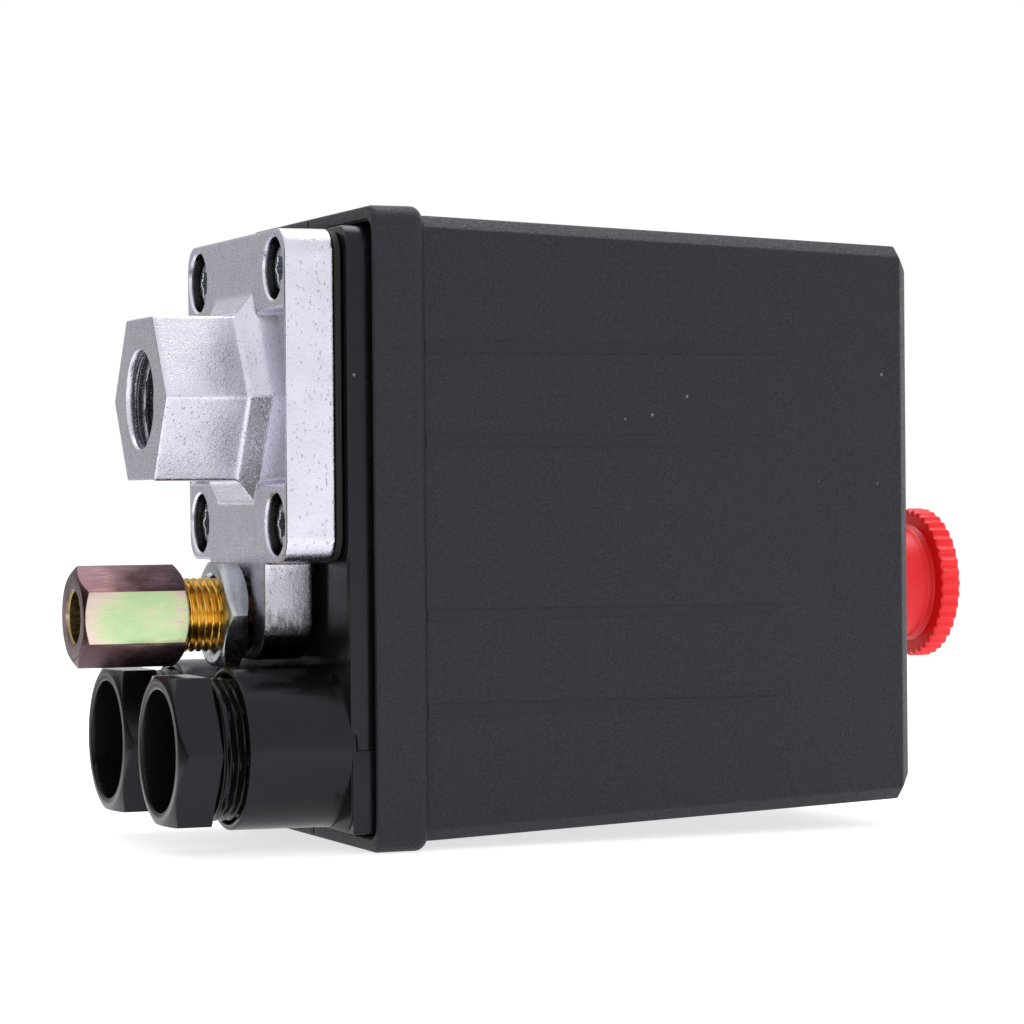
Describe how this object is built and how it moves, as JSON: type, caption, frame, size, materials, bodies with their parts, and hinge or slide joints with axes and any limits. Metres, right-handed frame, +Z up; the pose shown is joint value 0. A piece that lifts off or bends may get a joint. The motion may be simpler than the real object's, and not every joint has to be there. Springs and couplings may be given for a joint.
{
  "type": "pressure switch",
  "caption": "Compressor pressure switch: die-cast hex port flange, unloader valve, cable glands, black cover and a red push-pull knob.",
  "frame": {"origin": "centre of the pressure port's mouth", "axes": "+X from the port's mouth along its axis through the switch to the knob, +Z up as the switch lies in the picture, away from the cable glands, -Y the side next to gland_nut_1"},
  "size_m": [0.1286, 0.0524, 0.0844],
  "materials": {
    "cover_plastic": "fine spark texture, matt",
    "housing_plastic": "smooth moulded",
    "knob_plastic": "smooth moulded",
    "cast_aluminium": "as cast, faces machined",
    "zinc": "bright zinc plate",
    "yellow_zinc": "yellow passivated zinc plate",
    "brass": "turned",
    "spring_steel": "drawn wire",
    "frame_steel": "zinc plated sheet",
    "rubber": "matt",
    "copper": "stamped copper strip",
    "contact_plastic": "moulded phenolic"
  },
  "bodies": {
    "housing": {"cover": "cover_plastic", "cover_screw": "zinc", "port_flange": "cast_aluminium", "flange_screw_1": "zinc", "flange_screw_2": "zinc", "flange_screw_3": "zinc", "flange_screw_4": "zinc", "diaphragm": "rubber", "base_housing": "housing_plastic", "gland_nut_1": "housing_plastic", "gland_nut_2": "housing_plastic", "gland_seal_1": "rubber", "gland_seal_2": "rubber", "unloader_body": "brass", "lock_nut": "zinc", "compression_nut": "yellow_zinc", "ferrule": "brass", "unloader_spring": "spring_steel", "frame": "frame_steel", "lever_pin": "spring_steel", "range_spring": "spring_steel", "contact_block": "contact_plastic", "block_screw_1": "zinc", "block_screw_2": "zinc", "contact_spring": "spring_steel", "fixed_contact_1": "copper", "fixed_contact_2": "copper", "fixed_contact_3": "copper", "fixed_contact_4": "copper", "terminal_screw_1": "brass", "terminal_screw_2": "brass", "terminal_screw_3": "brass", "terminal_screw_4": "brass", "earth_screw": "brass"},
    "push_pull_knob": {"knob": "knob_plastic", "knob_shaft": "spring_steel"},
    "rocker": {"lever": "frame_steel", "spring_seat": "frame_steel"},
    "piston": {"pressure_piston": "brass"},
    "valve_pin": {"unloader_pin": "spring_steel"},
    "switching_carrier": {"contact_carrier": "contact_plastic", "contact_bridge_1": "copper", "contact_bridge_2": "copper"},
    "adjusting_screw": {"range_screw": "zinc"},
    "adjusting_nut": {"range_nut": "frame_steel"}
  },
  "joints": [
    {"name": "knob_push", "type": "slide", "parent": "housing", "child": "push_pull_knob", "axis": [-1, 0, 0], "range_m": [0, 0.006]},
    {"name": "lever_rock", "type": "hinge", "parent": "housing", "child": "rocker", "pos_m": [0.03825, 0, -0.014], "axis": [0, 1, 0], "range_deg": [0, 4], "stiffness_Nm_per_rad": 2, "springref_deg": -2.86, "deforming": ["range_spring", "contact_spring", "unloader_spring"]},
    {"name": "piston_slide", "type": "slide", "parent": "housing", "child": "piston", "axis": [1, 0, 0], "range_m": [0, 0.001]},
    {"name": "valve_pin_slide", "type": "slide", "parent": "housing", "child": "valve_pin", "axis": [-1, 0, 0], "range_m": [0, 0.0011]},
    {"name": "carrier_slide", "type": "slide", "parent": "housing", "child": "switching_carrier", "axis": [-1, 0, 0], "range_m": [0, 0.0021]},
    {"name": "range_screw_turn", "type": "hinge", "parent": "housing", "child": "adjusting_screw", "pos_m": [0.09, 0, 0], "axis": [1, 0, 0], "range_deg": [-720, 720]},
    {"name": "range_nut_slide", "type": "slide", "parent": "housing", "child": "adjusting_nut", "axis": [1, 0, 0], "range_m": [-0.002, 0.002]}
  ],
  "couplings": [
    {"joint": "piston_slide", "follows": "lever_rock", "m_per_rad": 0.014},
    {"joint": "valve_pin_slide", "follows": "lever_rock", "m_per_rad": 0.015},
    {"joint": "carrier_slide", "follows": "lever_rock", "m_per_rad": 0.029},
    {"joint": "range_screw_turn", "follows": "range_nut_slide", "rad_per_m": 6283.2}
  ]
}
